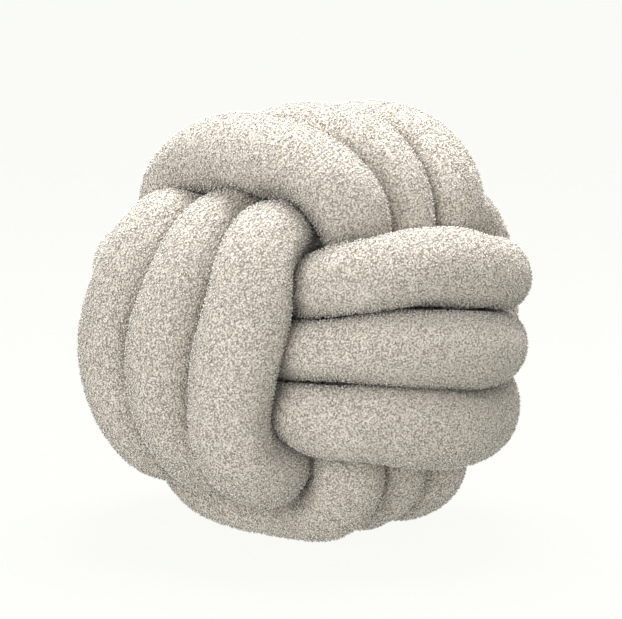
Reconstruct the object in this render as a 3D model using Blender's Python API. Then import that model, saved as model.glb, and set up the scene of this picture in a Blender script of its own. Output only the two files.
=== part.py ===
"""Knot cushion: one long stuffed tube of boucle, wound into a ball as a monkey's fist.

Metres, +Z up, with the origin under the middle of the ball, on the floor it stands on.
The ball has six faces of three strands side by side. Three bands make them, each wound
three times round: the belt lies outermost on the faces at +X and -X, the hoop on those
at +Y and -Y, and the cap on top and underneath. On its other two sides each band passes
under the next one. The tube goes from band to band through the hollow middle, where its
two ends are joined.
"""
import bpy
import bmesh
import numpy as np

# ---------- driving sizes, in metres ----------
BALL_RADIUS = 0.150      # from the ball's centre to the crest of a middle strand
STRAND_RADIUS = 0.0305   # the stuffed tube where nothing presses on it
PITCH = 0.047            # one strand to the next, side by side on a face
UNDER_DEPTH = 0.044      # from an outer strand's line to that of the one it crosses
SIDE_DROP = 0.0075       # how much closer in the two side strands of a face lie
PRESSED_WIDTH = 0.0425   # the least from line to line where strands squeeze together
GAP = 0.0020             # left between two strands where they press on each other
NEAR = 0.122             # strands whose lines are further apart than this never press
BASE_SINK = 0.010        # how far the ball's weight flattens its lowest strand

# ---------- how it is wound ----------
BANDS = ("belt", "hoop", "cap")
TURNS = 3
CORNER_POWER = 3.2       # 2 would wind each turn as an ellipse, more squares it off
FACE_REACH = 35          # degrees from the middle of a face to where a strand dives
BAND_TRIM = 22           # degrees left off each end of a band, for the links
SQUEEZE_POWER = 12.0     # how sharply a pressed section turns from round to flat

# Where each strand lies across its face, in ball radii along the band's lane axis: where
# it comes out from under, half way, and where it dives. Each "rise" is how much further
# out it lies there than an even strand would. "face" is 1 on the plus side, -1 opposite.
STRAND_COLUMNS = (
    "band", "turn", "face", "enter", "middle", "leave", "enter_rise", "middle_rise", "leave_rise",
)
STRANDS = (
    ("belt", 0, -1, -0.29, -0.33, -0.33, -0.03, -0.03, -0.03),
    ("belt", 0, 1, -0.27, -0.33, -0.40, 0.04, 0.04, 0.09),
    ("belt", 1, -1, 0.00, -0.03, -0.05, -0.03, -0.03, -0.03),
    ("belt", 1, 1, 0.05, 0.00, -0.05, 0.04, 0.05, 0.14),
    ("belt", 2, -1, 0.30, 0.27, 0.20, -0.07, -0.07, -0.07),
    ("belt", 2, 1, 0.35, 0.32, 0.28, 0.00, 0.00, 0.00),
    ("hoop", 0, -1, -0.24, -0.38, -0.35, -0.07, 0.00, -0.10),
    ("hoop", 0, 1, -0.36, -0.30, -0.24, 0.00, 0.00, 0.00),
    ("hoop", 1, -1, 0.10, -0.04, -0.09, -0.06, 0.00, -0.04),
    ("hoop", 1, 1, -0.02, 0.02, 0.07, 0.00, 0.00, 0.00),
    ("hoop", 2, -1, 0.42, 0.34, 0.30, -0.02, 0.00, -0.02),
    ("hoop", 2, 1, 0.30, 0.33, 0.37, 0.00, 0.00, 0.00),
    ("cap", 0, -1, -0.20, -0.14, -0.20, -0.05, -0.05, -0.05),
    ("cap", 0, 1, -0.38, -0.38, -0.42, -0.18, -0.01, 0.02),
    ("cap", 1, -1, 0.12, 0.16, 0.10, -0.03, -0.03, -0.03),
    ("cap", 1, 1, -0.04, 0.01, 0.04, -0.04, -0.02, 0.00),
    ("cap", 2, -1, 0.42, 0.44, 0.38, 0.00, 0.00, 0.00),
    ("cap", 2, 1, 0.33, 0.38, 0.39, 0.02, 0.02, -0.01),
)

# The tube's way through the hollow middle, from the last turn of the hoop to the first
# turn of the cap, in ball radii. The other two links are this one with its axes moved on.
LINK = ((0.30, 0.08, 0.35), (0.20, -0.12, 0.20), (0.13, -0.27, 0.12), (0.27, -0.33, -0.04))

# ---------- fineness ----------
BAND_POINTS = 400        # points along one band before the line is evened out
LINE_POINTS = 480        # points along the whole line while it is eased into place
FIRST_ROUNDS = 30        # steps of softening the bends, before any strand is pushed
EASE_ROUNDS = 160        # steps of easing
SOFTENING = 0.3          # share of a bend's sharpness that one step takes out
PUSH = 0.4               # share of an overlap that one step pushes apart
PULL_BACK = 0.03         # share of the way back to its first place that each step takes
RINGS = 400              # sections of the finished tube
SIDES = 12               # corners of each section
FINE = 4                 # points on the line per section, when looking for neighbours
LEAST_FACING = 0.05      # a corner turned further away from a neighbour isn't pressed by it
ACROSS = (0.3, 0.5, 0.8) # any direction that the tube doesn't start along

FABRIC_COLOUR = (0.565, 0.515, 0.440, 1.0)


def clear_scene():
    for old in list(bpy.data.objects):
        bpy.data.objects.remove(old, do_unlink=True)


def lane_places(band, angles):
    """Sideways place and rise of a band's strand at each winding angle, in metres."""
    keys = []
    for values in STRANDS:
        row = dict(zip(STRAND_COLUMNS, values))
        if row["band"] == band:
            centre = 270 + 360 * row["turn"] + 90 * row["face"]
            for where, angle in (("enter", -FACE_REACH), ("middle", 0), ("leave", FACE_REACH)):
                keys.append((centre + angle, row[where], row[where + "_rise"]))
    at, place, rise = np.array(sorted(keys)).T
    place = np.interp(angles, at, place) * BALL_RADIUS
    rise = np.interp(angles, at, rise) * BALL_RADIUS
    return place, rise


def squared(values):
    """A sine or cosine with its round swing squared off."""
    return np.sign(values) * np.abs(values) ** (2 / CORNER_POWER)


def band_line(band):
    """Middle line of one band's turns, from one inner pass to another."""
    first = BANDS.index(band)
    outward, inward, lane = (np.eye(3)[(first + i) % 3] for i in range(3))
    angles = np.linspace(90 + BAND_TRIM, 90 + 360 * TURNS - BAND_TRIM, BAND_POINTS)
    place, rise = lane_places(band, angles)
    crest = BALL_RADIUS - STRAND_RADIUS - SIDE_DROP * (place / PITCH) ** 2
    out = squared(np.cos(np.radians(angles))) * (crest + rise)
    along = squared(np.sin(np.radians(angles))) * (crest - UNDER_DEPTH)
    return np.outer(out, outward) + np.outer(along, inward) + np.outer(place, lane)


def even_points(line, count):
    """The same closed line with its points evenly spaced."""
    closed = np.vstack([line, line[:1]])
    steps = np.linalg.norm(np.diff(closed, axis=0), axis=1)
    reach = np.concatenate([[0], np.cumsum(steps)])
    at = np.linspace(0, reach[-1], count + 1)[:-1]
    return np.stack([np.interp(at, reach, closed[:, i]) for i in range(3)], axis=1)


def wound_line():
    """The whole closed middle line: the three bands and the links between them."""
    runs = []
    for i, band in enumerate(BANDS):
        runs.append(band_line(band))
        runs.append(np.roll(np.array(LINK), i - 1, axis=1) * BALL_RADIUS)
    return even_points(np.concatenate(runs), LINE_POINTS)


def next_to(line):
    """Halfway between each point's two neighbours, less the point itself."""
    return (np.roll(line, 1, axis=0) + np.roll(line, -1, axis=0)) / 2 - line


def soften(line):
    """Take some of the sharpness out of the line's bends."""
    return line - SOFTENING * next_to(next_to(line))


def ease(line):
    """Push strands that lie too close apart, keeping near the line and its bends soft."""
    for _ in range(FIRST_ROUNDS):
        line = soften(line)
    wanted = line.copy()
    index = np.arange(len(line))
    steps = np.abs(index[:, None] - index[None, :])
    steps = np.minimum(steps, len(line) - steps)
    for _ in range(EASE_ROUNDS):
        step = np.linalg.norm(line - np.roll(line, 1, axis=0), axis=1).mean()
        between = line[:, None] - line[None, :]
        distance = np.linalg.norm(between, axis=2)
        close = (distance < PRESSED_WIDTH) & (steps * step > 2 * PITCH)
        push = np.where(close, PRESSED_WIDTH / np.maximum(distance, GAP) - 1, 0)
        shift = np.einsum("ij,ijk->ik", push, between)
        line = line + PUSH * shift / np.maximum(close.sum(axis=1), 1)[:, None]
        line = soften(line)
        line = line + PULL_BACK * (wanted - line)
    return line


def cross_frames(line):
    """Two directions across the line at each point, that twist no more than they must."""
    tangent = np.roll(line, -1, axis=0) - np.roll(line, 1, axis=0)
    tangent /= np.linalg.norm(tangent, axis=1)[:, None]
    side = np.zeros_like(line)
    side[0] = np.cross(tangent[0], ACROSS)
    side[0] /= np.linalg.norm(side[0])
    for i in range(1, len(line)):
        carried = side[i - 1] - tangent[i] * np.dot(side[i - 1], tangent[i])
        side[i] = carried / np.linalg.norm(carried)
    up = np.cross(tangent, side)
    twist = np.arctan2(np.dot(side[-1], up[0]), np.dot(side[-1], side[0]))
    turn = -twist * np.arange(len(line)) / len(line)
    cos = np.cos(turn)[:, None]
    sin = np.sin(turn)[:, None]
    return cos * side + sin * up, cos * up - sin * side


def pressed_rings(line):
    """Sections of the tube: round where it is free, flat where another strand presses.

    Each corner of a section reaches no further than halfway to any other strand.
    """
    middle = even_points(line, RINGS)
    fine = even_points(line, FINE * RINGS)
    step = np.linalg.norm(np.diff(fine, axis=0), axis=1).mean()
    apart = np.abs(FINE * np.arange(RINGS)[:, None] - np.arange(FINE * RINGS)[None, :])
    along = np.minimum(apart, FINE * RINGS - apart) * step
    to_other = fine[None, :] - middle[:, None]
    distance = np.linalg.norm(to_other, axis=2)
    other_strand = (along > 2 * PITCH) & (distance < NEAR)
    half_way = np.where(other_strand, (distance - GAP) / 2, np.inf)
    side, up = cross_frames(middle)
    rings = np.zeros((RINGS, SIDES, 3))
    for corner in range(SIDES):
        angle = 2 * np.pi * corner / SIDES
        ray = np.cos(angle) * side + np.sin(angle) * up
        facing = np.einsum("ijk,ik->ij", to_other, ray) / np.maximum(distance, GAP)
        limit = (half_way / np.maximum(facing, LEAST_FACING)).min(axis=1)
        radius = (STRAND_RADIUS ** -SQUEEZE_POWER + limit ** -SQUEEZE_POWER) ** (-1 / SQUEEZE_POWER)
        rings[:, corner] = middle + ray * radius[:, None]
    return rings


def stand_on_floor(rings):
    """Centre the ball over the origin and flatten it where it touches the floor."""
    low = rings.min(axis=(0, 1))
    high = rings.max(axis=(0, 1))
    rings = rings - (low + high) / 2
    rings[:, :, 2] += (high - low)[2] / 2 - BASE_SINK
    rings[:, :, 2] = np.maximum(rings[:, :, 2], 0.0)
    return rings


def add_knotted_tube():
    rings = stand_on_floor(pressed_rings(ease(wound_line())))
    tube = bmesh.new()
    corners = [[tube.verts.new(point) for point in ring] for ring in rings]
    for i in range(RINGS):
        here = corners[i]
        ahead = corners[(i + 1) % RINGS]
        for j in range(SIDES):
            k = (j + 1) % SIDES
            tube.faces.new((here[j], here[k], ahead[k], ahead[j]))
    bmesh.ops.triangulate(tube, faces=tube.faces)
    bmesh.ops.recalc_face_normals(tube, faces=tube.faces)
    mesh = bpy.data.meshes.new("knotted_tube")
    tube.to_mesh(mesh)
    tube.free()
    mesh.shade_smooth()
    mesh.materials.append(boucle())
    piece = bpy.data.objects.new("knotted_tube", mesh)
    bpy.context.scene.collection.objects.link(piece)


def boucle():
    """Cream boucle, a soft fabric of small curls."""
    fabric = bpy.data.materials.new("cream_boucle")
    fabric.use_nodes = True
    shader = fabric.node_tree.nodes["Principled BSDF"]
    shader.inputs["Base Color"].default_value = FABRIC_COLOUR
    shader.inputs["Roughness"].default_value = 0.95
    shader.inputs["Metallic"].default_value = 0.0
    return fabric


clear_scene()
add_knotted_tube()
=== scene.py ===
import math

import bmesh
import bpy
import numpy as np
from mathutils import Matrix, Vector, noise
from mathutils.bvhtree import BVHTree


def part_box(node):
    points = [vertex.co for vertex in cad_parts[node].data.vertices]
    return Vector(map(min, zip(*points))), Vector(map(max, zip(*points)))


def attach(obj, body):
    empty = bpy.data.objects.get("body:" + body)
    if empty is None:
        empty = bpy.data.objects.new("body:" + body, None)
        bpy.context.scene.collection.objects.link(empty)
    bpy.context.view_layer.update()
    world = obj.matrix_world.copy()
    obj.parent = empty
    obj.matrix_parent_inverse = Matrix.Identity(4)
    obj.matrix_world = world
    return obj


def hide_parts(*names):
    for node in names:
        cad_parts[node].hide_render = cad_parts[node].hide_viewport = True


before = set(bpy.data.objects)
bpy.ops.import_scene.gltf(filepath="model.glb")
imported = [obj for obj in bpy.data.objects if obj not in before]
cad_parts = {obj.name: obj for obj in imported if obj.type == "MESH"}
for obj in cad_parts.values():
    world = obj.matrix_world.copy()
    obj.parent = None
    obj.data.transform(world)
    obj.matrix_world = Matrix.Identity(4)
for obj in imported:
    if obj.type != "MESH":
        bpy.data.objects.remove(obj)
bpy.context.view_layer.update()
ballLow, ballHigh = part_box("knotted_tube")
ballMiddle = (Vector(ballLow) + Vector(ballHigh)) / 2
ballSize = Vector(ballHigh) - Vector(ballLow)


def linearColour(hexValue):
    # sRGB hex to the linear numbers that shaders take
    channels = [int(hexValue[i:i + 2], 16) / 255 for i in (1, 3, 5)]
    linear = [c / 12.92 if c <= 0.04045 else ((c + 0.055) / 1.055) ** 2.4 for c in channels]
    return (*linear, 1.0)


def addNode(tree, kind, settings=None, **sockets):
    # a node with its settings, and its sockets set to values or linked to outputs
    node = tree.nodes.new(kind)
    for name, value in (settings or {}).items():
        setattr(node, name, value)
    for name, value in sockets.items():
        key = int(name[1:]) if name[0] == "_" else name.replace("_", " ")
        socket = node.inputs[key]
        if isinstance(value, bpy.types.NodeSocket):
            tree.links.new(value, socket)
        else:
            socket.default_value = value
    return node


def evaluatedMesh(piece):
    graph = bpy.context.evaluated_depsgraph_get()
    return bpy.data.meshes.new_from_object(piece.evaluated_get(graph))


def vertexArray(mesh):
    places = np.empty(len(mesh.vertices) * 3, np.float32)
    mesh.vertices.foreach_get("co", places)
    return places.reshape(-1, 3).astype(float)


def normalArray(mesh):
    normals = np.empty(len(mesh.vertices) * 3, np.float32)
    mesh.vertex_normals.foreach_get("vector", normals)
    return normals.reshape(-1, 3).astype(float)


def moveVertices(mesh, places):
    mesh.vertices.foreach_set("co", places.astype(np.float32).ravel())
    mesh.update()


def awayTo(azimuth, elevation):
    # unit direction from the ball, in degrees round from the front and degrees up
    azimuth, elevation = math.radians(azimuth), math.radians(elevation)
    return Vector((
        math.sin(azimuth) * math.cos(elevation),
        -math.cos(azimuth) * math.cos(elevation),
        math.sin(elevation),
    ))


camera = dict(
    azimuth=43.0,        # degrees round from the front, towards the right side
    elevation=8.6,       # degrees above the horizon
    roll=0.5,            # degrees, the camera tipped a touch anticlockwise
    distance=2.2,        # metres from the ball's middle
    ballWidth=0.304,     # metres across the ball, as the camera sees it
    ballShare=0.723,     # and that width as a share of the frame's
    offsetX=0.0035,      # the ball's middle left of the frame's, in frame widths
    offsetY=0.0108,      # and below it
)


def addCamera():
    data = bpy.data.cameras.new("camera")
    data.sensor_width = 36
    data.lens = camera["ballShare"] * data.sensor_width * camera["distance"] / camera["ballWidth"]
    data.shift_x = camera["offsetX"]
    data.shift_y = camera["offsetY"]
    data.clip_start = 0.05
    data.clip_end = 50
    away = awayTo(camera["azimuth"], camera["elevation"])
    piece = bpy.data.objects.new("camera", data)
    turn = away.to_track_quat("Z", "Y").to_matrix() @ Matrix.Rotation(math.radians(camera["roll"]), 3, "Z")
    piece.matrix_world = Matrix.Translation(ballMiddle + away * camera["distance"]) @ turn.to_4x4()
    bpy.context.scene.collection.objects.link(piece)
    bpy.context.scene.camera = piece


addCamera()
print("camera placed")


tube = dict(
    swell=0.0008,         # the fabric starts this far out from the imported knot
    pressure=8.0,         # stuffing pressure
    simFrames=14,
    selfGap=0.0010,       # room kept between two strands' grounds, for the pile of both
    maxMove=0.004,        # no point swells further than this
    lumpHeight=0.0008,    # unevenness of the stuffing
    lumpWidth=0.045,
    floorGap=0.0006,      # pile squashed under the ball
    rays=40,              # ways out tried from each face, to find those that never show
    rayStart=0.0005,      # each starts this far off its face
    rayLength=0.4,        # and is out of the knot after this
    leastLift=0.2,        # ways flatter to the face than this aren't tried
    waysOut=2,            # a face needs this many to show
)


def quadKnot():
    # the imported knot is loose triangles: joined up here, and paired back into four-sided faces
    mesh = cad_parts["knotted_tube"].data.copy()
    knot = bmesh.new()
    knot.from_mesh(mesh)
    bmesh.ops.remove_doubles(knot, verts=knot.verts, dist=1e-6)
    bmesh.ops.join_triangles(
        knot, faces=knot.faces,
        angle_face_threshold=math.radians(70), angle_shape_threshold=math.radians(80),
    )
    knot.to_mesh(mesh)
    knot.free()
    mesh.materials.clear()
    return mesh


def smoothed(piece, levels):
    surface = piece.modifiers.new("smooth", "SUBSURF")
    surface.levels = surface.render_levels = levels
    mesh = evaluatedMesh(piece)
    piece.modifiers.clear()
    piece.data = mesh


def stuffed(piece):
    # pressure swells the fabric until neighbouring strands lie tight together
    before = vertexArray(piece.data)
    cloth = piece.modifiers.new("stuffing", "CLOTH")
    cloth.settings.quality = 5
    cloth.settings.mass = 0.1
    cloth.settings.use_pressure = True
    cloth.settings.uniform_pressure_force = tube["pressure"]
    cloth.settings.effector_weights.gravity = 0
    cloth.settings.tension_stiffness = 15
    cloth.settings.compression_stiffness = 15
    cloth.settings.shear_stiffness = 5
    cloth.settings.bending_stiffness = 0.5
    cloth.collision_settings.use_collision = False
    cloth.collision_settings.use_self_collision = True
    cloth.collision_settings.self_distance_min = tube["selfGap"]
    cloth.point_cache.frame_end = tube["simFrames"]
    for step in range(1, tube["simFrames"] + 1):
        bpy.context.scene.frame_set(step)
    after = vertexArray(evaluatedMesh(piece))
    piece.modifiers.clear()
    bpy.context.scene.frame_set(1)
    move = after - before
    far = np.linalg.norm(move, axis=1)
    move *= np.minimum(1, tube["maxMove"] / np.maximum(far, 1e-9))[:, None]
    moveVertices(piece.data, before + move)
    print("stuffed: moved", round(float(np.median(far)) * 1000, 2), "mm in the middle")


def lumpy(mesh):
    # stuffing is never quite even
    places = vertexArray(mesh)
    normals = normalArray(mesh)
    lumps = [noise.noise(Vector(place) / tube["lumpWidth"]) for place in places]
    places += normals * (np.array(lumps) * tube["lumpHeight"] * 2)[:, None]
    places[:, 2] = np.maximum(places[:, 2], tube["floorGap"])
    moveVertices(mesh, places)


def markShown(mesh):
    # which of the ball's six sides each face lies on, or -1 where hardly any way leads out
    surface = bmesh.new()
    surface.from_mesh(mesh)
    tree = BVHTree.FromBMesh(surface)
    surface.free()
    ways = []
    for i in range(tube["rays"]):
        # evenly spread over a sphere, along a spiral
        z = 1 - (2 * i + 1) / tube["rays"]
        angle = i * math.pi * (3 - math.sqrt(5))
        flat = math.sqrt(1 - z * z)
        ways.append(Vector((math.cos(angle) * flat, math.sin(angle) * flat, z)))
    outside = np.zeros(len(mesh.vertices), bool)
    for face in mesh.polygons:
        start = face.center + face.normal * tube["rayStart"]
        found = 0
        for way in ways:
            lifted = way.dot(face.normal) > tube["leastLift"]
            if lifted and tree.ray_cast(start, way, tube["rayLength"])[0] is None:
                found += 1
        if found >= tube["waysOut"]:
            outside[list(face.vertices)] = True
    side = np.full(len(mesh.polygons), -1)
    area = 0
    for face in mesh.polygons:
        if outside[list(face.vertices)].any():
            share = [(face.center - ballMiddle)[i] / ballSize[i] for i in range(3)]
            axis = int(np.argmax(np.abs(share)))
            side[face.index] = axis * 2 + (share[axis] > 0)
            area += face.area
    attribute = mesh.attributes.new("side", "INT", "FACE")
    attribute.data.foreach_set("value", side.astype(np.int32))
    print("fabric that shows:", round(area, 3), "square metres")


def addTube():
    piece = bpy.data.objects.new("stuffed_tube", quadKnot())
    bpy.context.scene.collection.objects.link(piece)
    smoothed(piece, 1)
    moveVertices(piece.data, vertexArray(piece.data) + normalArray(piece.data) * tube["swell"])
    stuffed(piece)
    markShown(piece.data)
    smoothed(piece, 1)
    lumpy(piece.data)
    piece.data.shade_smooth()
    return piece


groundPiece = addTube()
print("tube stuffed:", len(groundPiece.data.polygons), "faces")


# Boucle: a knitted ground covered with small loops of woolly yarn. It is matt, with a soft bloom where it
# is seen edge on.
# Its colour holds painted shade: pale on the loops' tops and darkened in the pits between them, where shade
# falls.
boucle = dict(
    tops="#e8e4dd",
    # painted shade: the colour that the pits between the loops darken to
    pitsPaintedShade="#b2aba1",
    # the ground's colours are darker than the loops', painted shade where it lies under them
    groundTopsPaintedShade="#d4cdc2",
    groundPitsPaintedShade="#90877c",
    loopSize=0.0014,       # metres from one loop to the next
    fibreSize=0.0006,      # single fibres are finer, drawn as coarse as a render shows
    patchSize=0.030,       # faint patches of cleaner and duller pile
    wander=0.5,            # how far the loops stray, in loop sizes
    pitReach=0.75,         # loop sizes from a loop's middle to the bottom of a pit
    topReach=0.35,         # and to where its top begins
    loopBlend=0.3,         # how softly one loop runs into the next
    fibreShare=0.5,        # share of the relief that single fibres make
    patchShare=0.3,        # and how strongly the patches change the colour
    bumpHeight=0.0008,
)


# the colour runs from pale on the loops' tops to painted shade in the pits, over random patches of tone
def fabricMaterial(name, pale, pitShade, sheen, relief):
    material = bpy.data.materials.new(name)
    material.use_nodes = True
    tree = material.node_tree
    shader = tree.nodes["Principled BSDF"]
    place = addNode(tree, "ShaderNodeTexCoord").outputs["Object"]
    patch = addNode(tree, "ShaderNodeTexNoise", Vector=place, Scale=1 / boucle["patchSize"], Detail=2.0)
    fibre = addNode(tree, "ShaderNodeTexNoise", Vector=place, Scale=1 / boucle["fibreSize"], Detail=1.0)
    # the loops are bent about, so their cells are looked up at wandering places
    wander = addNode(tree, "ShaderNodeVectorMath", {"operation": "SCALE"},
                     _0=fibre.outputs["Color"], Scale=boucle["loopSize"] * boucle["wander"])
    bent = addNode(tree, "ShaderNodeVectorMath", {"operation": "ADD"}, _0=place, _1=wander.outputs[0])
    loops = addNode(tree, "ShaderNodeTexVoronoi", {"feature": "SMOOTH_F1"}, Vector=bent.outputs[0],
                    Scale=1 / boucle["loopSize"], Smoothness=boucle["loopBlend"])
    height = addNode(tree, "ShaderNodeMapRange", Value=loops.outputs["Distance"],
                     From_Min=boucle["pitReach"], From_Max=boucle["topReach"])
    rough = addNode(tree, "ShaderNodeMath", {"operation": "MULTIPLY_ADD"},
                    _0=fibre.outputs["Fac"], _1=boucle["fibreShare"], _2=height.outputs[0])
    tone = addNode(tree, "ShaderNodeMath", {"operation": "MULTIPLY_ADD", "use_clamp": True},
                   _0=patch.outputs["Fac"], _1=boucle["patchShare"], _2=-boucle["patchShare"] / 2)
    share = addNode(tree, "ShaderNodeMath", {"operation": "ADD", "use_clamp": True},
                    _0=height.outputs[0], _1=tone.outputs[0])
    # painted shade: the colour darkens towards the pit colour where the loop pattern is low
    colour = addNode(tree, "ShaderNodeMix", {"data_type": "RGBA"}, _0=share.outputs[0])
    colour.inputs[6].default_value = linearColour(pitShade)
    colour.inputs[7].default_value = linearColour(pale)
    tree.links.new(colour.outputs[2], shader.inputs["Base Color"])
    nap = addNode(tree, "ShaderNodeBump",
                  Height=rough.outputs[0], Strength=relief, Distance=boucle["bumpHeight"])
    tree.links.new(nap.outputs[0], shader.inputs["Normal"])
    shader.inputs["Roughness"].default_value = 0.95
    shader.inputs["IOR"].default_value = 1.46
    shader.inputs["Specular IOR Level"].default_value = 0.15
    shader.inputs["Sheen Weight"].default_value = sheen
    shader.inputs["Sheen Roughness"].default_value = 0.6
    return material


curlMaterial = fabricMaterial(
    "boucle_curls", boucle["tops"], boucle["pitsPaintedShade"], sheen=0.3, relief=0.6)
# the ground gets the darker colours: painted shade under the curls
groundMaterial = fabricMaterial(
    "boucle_ground", boucle["groundTopsPaintedShade"], boucle["groundPitsPaintedShade"], sheen=0.1, relief=0.8)
groundPiece.data.materials.append(groundMaterial)
print("materials made")


# Each curl is one smooth hump of yarn. A real one is a twist of many fibres, too fine to show,
# so the twist is left to the material's relief.
curls = dict(
    spacing=0.0014,      # metres between curls
    length=0.0023,       # along one curl
    height=0.0010,       # of its hump above the ground
    thickness=0.0011,    # of its yarn, at the top of the hump
    tilt=0.9,            # radians that a hump may lean over
    sizeLow=0.7,         # a curl's size is drawn between these
    sizeHigh=1.25,
    mostPerArea=400000.0,
    endWeld=0.00001,     # closes the two pointed ends of a curl
    floorRest=0.0002,    # curls under the ball are squashed to lie this far above the floor
    firstSeed=11,
)


def curlTree():
    tree = bpy.data.node_groups.new("boucleCurls", "GeometryNodeTree")
    sockets = tree.interface
    sockets.new_socket("Geometry", in_out="INPUT", socket_type="NodeSocketGeometry")
    for name in ("Spacing", "Length", "Height", "Thickness", "Tilt", "Size Low", "Size High"):
        sockets.new_socket(name, in_out="INPUT", socket_type="NodeSocketFloat")
    sockets.new_socket("Side", in_out="INPUT", socket_type="NodeSocketInt")
    sockets.new_socket("Seed", in_out="INPUT", socket_type="NodeSocketInt")
    sockets.new_socket("Material", in_out="INPUT", socket_type="NodeSocketMaterial")
    sockets.new_socket("Geometry", in_out="OUTPUT", socket_type="NodeSocketGeometry")
    given = addNode(tree, "NodeGroupInput").outputs

    side = addNode(tree, "GeometryNodeInputNamedAttribute", {"data_type": "INT"}, Name="side")
    onSide = addNode(tree, "FunctionNodeCompare", {"data_type": "INT", "operation": "EQUAL"},
                     _2=side.outputs["Attribute"], _3=given["Side"])
    scatter = addNode(tree, "GeometryNodeDistributePointsOnFaces", {"distribute_method": "POISSON"},
                      Mesh=given["Geometry"], Selection=onSide.outputs["Result"],
                      Distance_Min=given["Spacing"], Density_Max=curls["mostPerArea"], Seed=given["Seed"])

    # one curl: a short hump of yarn that tapers into the ground at both ends
    half = addNode(tree, "ShaderNodeMath", {"operation": "MULTIPLY"}, _0=given["Length"], _1=0.5)
    back = addNode(tree, "ShaderNodeMath", {"operation": "MULTIPLY"}, _0=given["Length"], _1=-0.5)
    startPoint = addNode(tree, "ShaderNodeCombineXYZ", X=back.outputs[0])
    topPoint = addNode(tree, "ShaderNodeCombineXYZ", Z=given["Height"])
    endPoint = addNode(tree, "ShaderNodeCombineXYZ", X=half.outputs[0])
    hump = addNode(tree, "GeometryNodeCurveArc", {"mode": "POINTS"}, Resolution=3,
                   Start=startPoint.outputs[0], Middle=topPoint.outputs[0], End=endPoint.outputs[0])
    yarnRadius = addNode(tree, "ShaderNodeMath", {"operation": "MULTIPLY"}, _0=given["Thickness"], _1=0.5)
    yarnRing = addNode(tree, "GeometryNodeCurvePrimitiveCircle", Resolution=3, Radius=yarnRadius.outputs[0])
    along = addNode(tree, "GeometryNodeSplineParameter")
    halfTurn = addNode(tree, "ShaderNodeMath", {"operation": "MULTIPLY"},
                       _0=along.outputs["Factor"], _1=math.pi)
    taper = addNode(tree, "ShaderNodeMath", {"operation": "SINE"}, _0=halfTurn.outputs[0])
    swept = addNode(tree, "GeometryNodeCurveToMesh", Curve=hump.outputs[0],
                    Profile_Curve=yarnRing.outputs[0], Scale=taper.outputs[0])
    yarn = addNode(tree, "GeometryNodeMergeByDistance",
                   Geometry=swept.outputs[0], Distance=curls["endWeld"])

    # each curl is spun, leant over and sized at random
    spin = addNode(tree, "FunctionNodeRandomValue", {"data_type": "FLOAT"}, _2=0.0, _3=2 * math.pi, Seed=1)
    leanLow = addNode(tree, "ShaderNodeMath", {"operation": "MULTIPLY"}, _0=given["Tilt"], _1=-1.0)
    lean = addNode(tree, "FunctionNodeRandomValue", {"data_type": "FLOAT"},
                   _2=leanLow.outputs[0], _3=given["Tilt"], Seed=2)
    size = addNode(tree, "FunctionNodeRandomValue", {"data_type": "FLOAT"},
                   _2=given["Size Low"], _3=given["Size High"], Seed=3)
    turned = addNode(tree, "ShaderNodeCombineXYZ", X=lean.outputs[1], Z=spin.outputs[1])
    asRotation = addNode(tree, "FunctionNodeEulerToRotation", Euler=turned.outputs[0])
    rotation = addNode(tree, "FunctionNodeRotateRotation", {"rotation_space": "LOCAL"},
                       Rotation=scatter.outputs["Rotation"], Rotate_By=asRotation.outputs[0])
    placed = addNode(tree, "GeometryNodeInstanceOnPoints", Points=scatter.outputs["Points"],
                     Instance=yarn.outputs[0], Rotation=rotation.outputs[0], Scale=size.outputs[1])
    real = addNode(tree, "GeometryNodeRealizeInstances", Geometry=placed.outputs[0])
    soft = addNode(tree, "GeometryNodeSetShadeSmooth", Geometry=real.outputs[0])
    finished = addNode(tree, "GeometryNodeSetMaterial",
                       Geometry=soft.outputs[0], Material=given["Material"])
    addNode(tree, "NodeGroupOutput", _0=finished.outputs[0])
    return tree


def addCurls(tree, name, side):
    piece = bpy.data.objects.new(name, groundPiece.data.copy())
    bpy.context.scene.collection.objects.link(piece)
    modifier = piece.modifiers.new("curls", "NODES")
    modifier.node_group = tree
    values = {
        "Spacing": curls["spacing"], "Length": curls["length"], "Height": curls["height"],
        "Thickness": curls["thickness"], "Tilt": curls["tilt"],
        "Size Low": curls["sizeLow"], "Size High": curls["sizeHigh"],
        "Side": side, "Seed": curls["firstSeed"] + side, "Material": curlMaterial,
    }
    for socket in tree.interface.items_tree:
        if socket.in_out == "INPUT" and socket.name in values:
            modifier[socket.identifier] = values[socket.name]
    mesh = evaluatedMesh(piece)
    piece.modifiers.clear()
    piece.data = mesh
    places = vertexArray(mesh)
    places[:, 2] = np.maximum(places[:, 2], curls["floorRest"])
    moveVertices(mesh, places)
    return piece


curlPieces = []
curlGroup = curlTree()
curlNames = ("curls_left", "curls_right", "curls_front", "curls_back", "curls_base", "curls_top")
for side, name in enumerate(curlNames):
    curlPieces.append(addCurls(curlGroup, name, side))
    print(name, len(curlPieces[-1].data.polygons), "faces")


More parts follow.
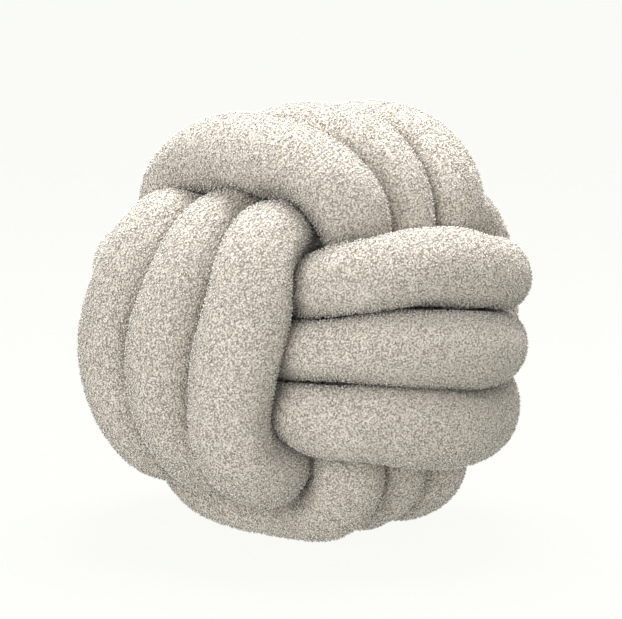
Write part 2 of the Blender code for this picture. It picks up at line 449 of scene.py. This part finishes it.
studio = dict(
    paperGlow="#fafbf6",   # the sweep is lit so brightly that it is near white all over
    paperColour="#fbfbf8",
    glowShare=0.98,        # the rest of it is lit by the lamps, so that a faint shadow shows
    worldColour="#fdfdfb",
    worldStrength=0.95,
    # each lamp: degrees round from the front, degrees up, distance, width and power
    topSoftbox=(215, 74, 1.4, 0.9, 50.0),
    keySoftbox=(18, 18, 1.8, 1.2, 21.5),
)


def addFloor():
    # a pale lit paper sheet, level under the ball and running far behind it
    half = 8.0
    mesh = bpy.data.meshes.new("floor")
    mesh.from_pydata(
        [(-half, -half, 0), (half, -half, 0), (half, half, 0), (-half, half, 0)], [], [(0, 1, 2, 3)])
    material = bpy.data.materials.new("lit_white_paper")
    material.use_nodes = True
    tree = material.node_tree
    shader = tree.nodes["Principled BSDF"]
    shader.inputs["Base Color"].default_value = tuple(
        c * (1 - studio["glowShare"]) for c in linearColour(studio["paperColour"])[:3]) + (1.0,)
    shader.inputs["Roughness"].default_value = 0.9
    shader.inputs["Specular IOR Level"].default_value = 0.0
    shader.inputs["Emission Color"].default_value = linearColour(studio["paperGlow"])
    shader.inputs["Emission Strength"].default_value = studio["glowShare"]
    mesh.materials.append(material)
    piece = bpy.data.objects.new("floor", mesh)
    bpy.context.scene.collection.objects.link(piece)


def addLight(name, azimuth, elevation, distance, size, power):
    data = bpy.data.lights.new(name, "AREA")
    data.shape = "DISK"
    data.size = size
    data.energy = power
    away = awayTo(azimuth, elevation)
    piece = bpy.data.objects.new(name, data)
    turn = away.to_track_quat("Z", "Y").to_matrix().to_4x4()
    piece.matrix_world = Matrix.Translation(ballMiddle + away * distance) @ turn
    bpy.context.scene.collection.objects.link(piece)


def addWorld():
    world = bpy.data.worlds.new("studio")
    world.use_nodes = True
    background = world.node_tree.nodes["Background"]
    background.inputs["Color"].default_value = linearColour(studio["worldColour"])
    background.inputs["Strength"].default_value = studio["worldStrength"]
    bpy.context.scene.world = world
    bpy.context.scene.view_settings.view_transform = "Standard"


addFloor()
addWorld()
addLight("top_softbox", *studio["topSoftbox"])
addLight("key_softbox", *studio["keySoftbox"])
print("studio lit")


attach(groundPiece, "root")
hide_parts("knotted_tube")
for piece in curlPieces:
    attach(piece, "root")
